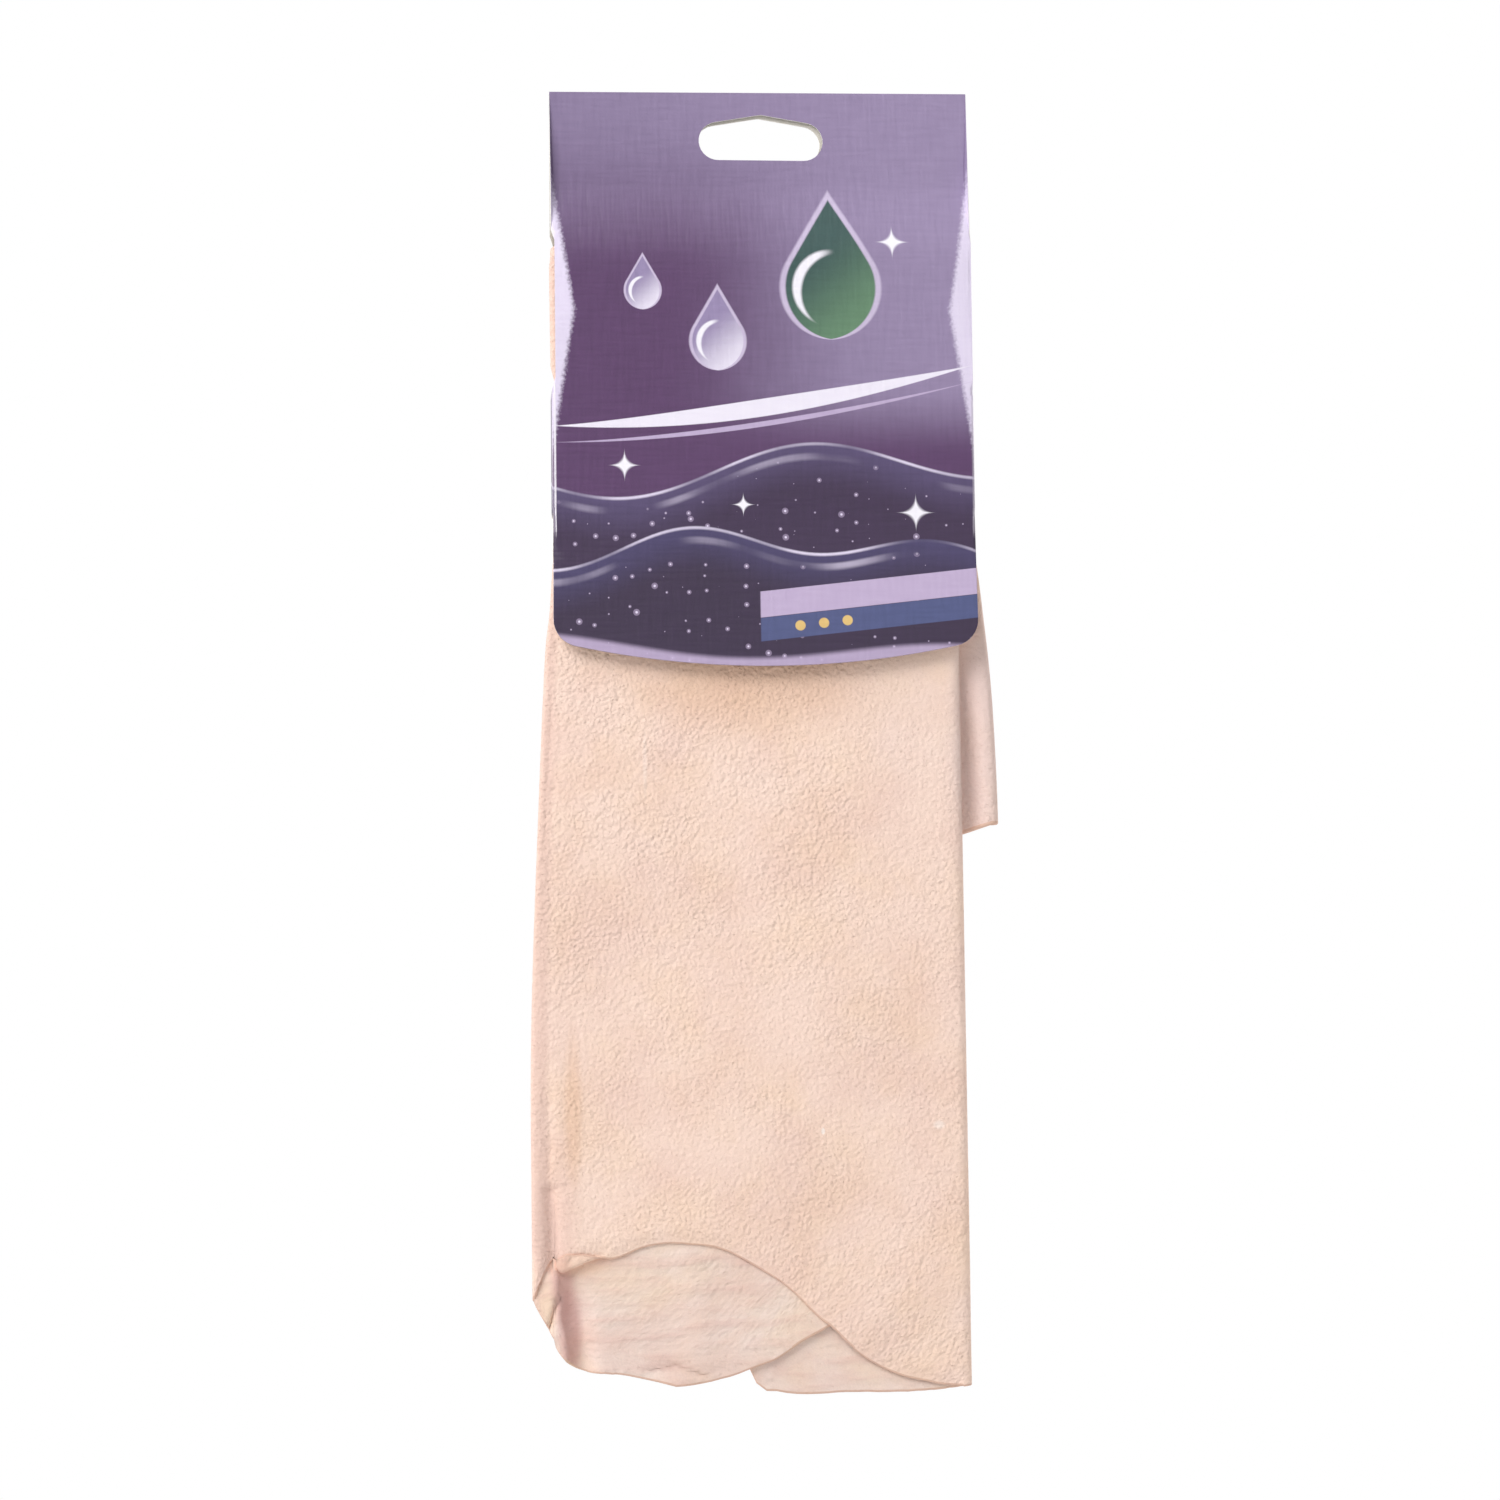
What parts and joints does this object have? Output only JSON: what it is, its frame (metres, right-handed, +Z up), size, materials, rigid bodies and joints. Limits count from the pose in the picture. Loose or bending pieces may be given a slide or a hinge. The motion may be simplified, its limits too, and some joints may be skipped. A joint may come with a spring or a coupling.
{
  "type": "chamois leather",
  "caption": "Buff chamois skin folded lengthwise and across, held in a printed purple card sleeve with a hang slot; the skin pulls down out of the sleeve.",
  "frame": {"origin": "peak of the hang slot, halfway through the glued tab, where the peg that carries the card bears", "axes": "+Z up along the hanging card and skin, -Y out of the printed front, +X to the right as seen from the front"},
  "size_m": [0.1202, 0.0124, 0.3306],
  "materials": {
    "printed_board": "satin",
    "dried_glue": "matte",
    "chamois": "matte"
  },
  "bodies": {
    "card_sleeve": {"front_panel": "printed_board", "back_panel": "printed_board", "left_side_wall": "printed_board", "right_side_wall": "printed_board", "seam_flap": "printed_board", "tab_glue": "dried_glue", "seam_glue": "dried_glue"},
    "folded_skin": {"chamois_skin": "chamois"}
  },
  "joints": [
    {"name": "skin_pull", "type": "slide", "parent": "card_sleeve", "child": "folded_skin", "axis": [0, 0, -1], "range_m": [0, 0.12]}
  ]
}
